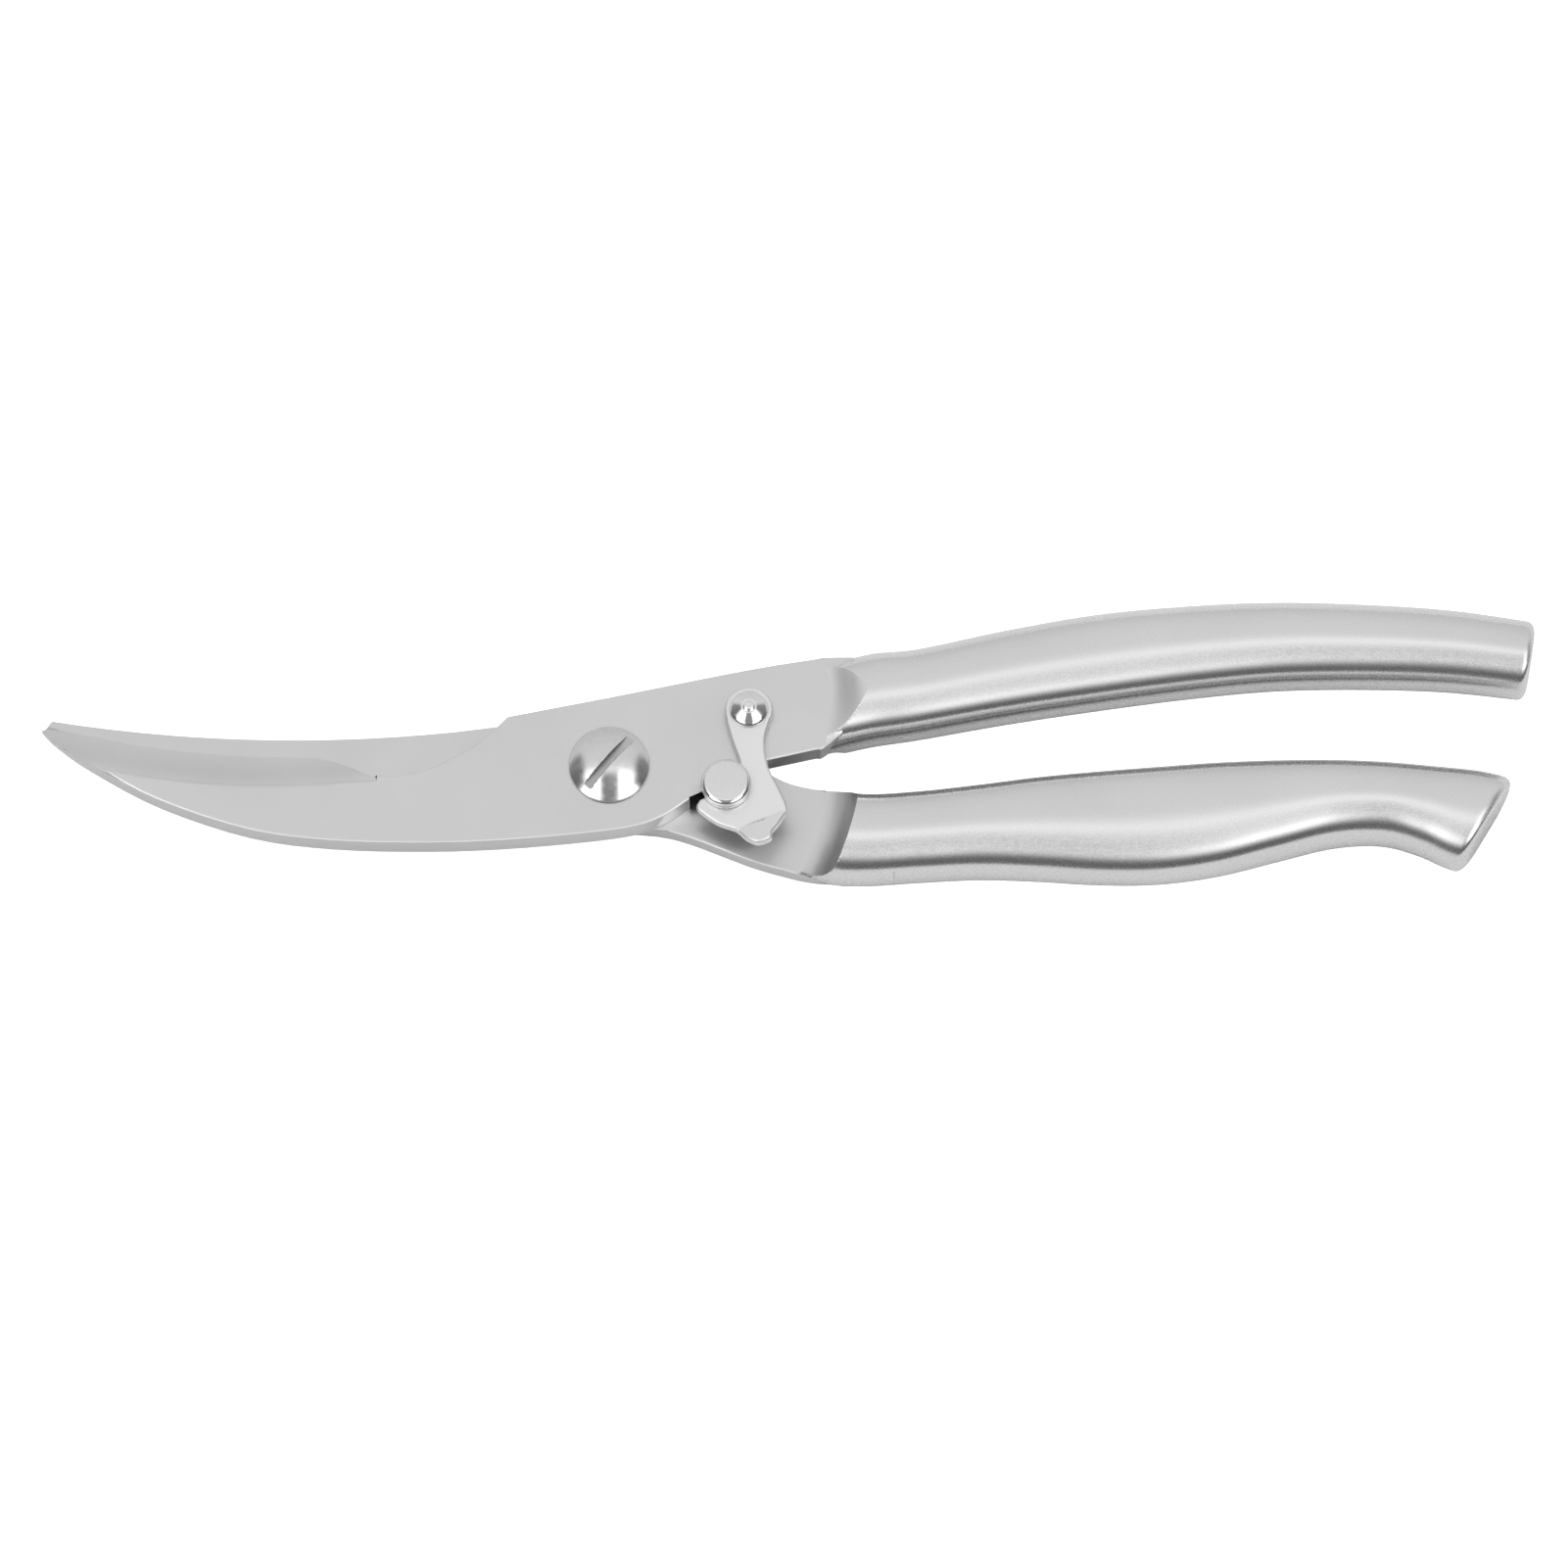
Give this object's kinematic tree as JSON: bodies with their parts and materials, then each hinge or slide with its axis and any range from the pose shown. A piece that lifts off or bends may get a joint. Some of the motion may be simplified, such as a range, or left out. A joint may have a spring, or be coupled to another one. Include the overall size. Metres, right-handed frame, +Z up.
{
  "type": "poultry shears",
  "caption": "Poultry shears with curved blades, a bone notch, a slotted pivot screw, a hooked thumb latch over a headed lock pin, and hollow metal handles.",
  "frame": {"origin": "the pivot axis where it meets the table, at the flush end of the pivot screw", "axes": "+Z up along the pivot axis, +X towards the handles with the blades pointing to -X, +Y towards the upper handle"},
  "size_m": [0.2516, 0.05, 0.015],
  "materials": {
    "blade_steel": "satin",
    "handle_steel": "satin",
    "latch_steel": "tumbled satin",
    "polished_steel": "polished",
    "fastener_steel": "plain"
  },
  "bodies": {
    "lower_half": {"back_blade": "blade_steel", "lower_handle_front_shell": "handle_steel", "lower_handle_back_shell": "handle_steel", "lower_handle_end_cap": "handle_steel", "pivot_screw": "polished_steel", "pivot_spring_washer": "fastener_steel", "pivot_nut": "fastener_steel", "lock_pin": "polished_steel", "opening_spring": "fastener_steel"},
    "upper_half": {"front_blade": "blade_steel", "upper_handle_front_shell": "handle_steel", "upper_handle_back_shell": "handle_steel", "upper_handle_end_cap": "handle_steel", "latch_rivet": "polished_steel", "latch_washer": "fastener_steel", "stop_pin": "fastener_steel"},
    "latch": {"lock_latch": "latch_steel"}
  },
  "joints": [
    {"name": "blades_open", "type": "hinge", "parent": "lower_half", "child": "upper_half", "pos_m": [0, 0, 0.008], "axis": [0, 0, 1], "range_deg": [0, 22], "deforming": ["opening_spring"]},
    {"name": "latch_swing", "type": "hinge", "parent": "upper_half", "child": "latch", "pos_m": [0.0234, 0.0093, 0.012], "axis": [0, 0, 1], "range_deg": [0, 52.8]}
  ],
  "couplings": [
    {"joint": "latch_swing", "follows": "blades_open", "ratio": 2.4}
  ]
}
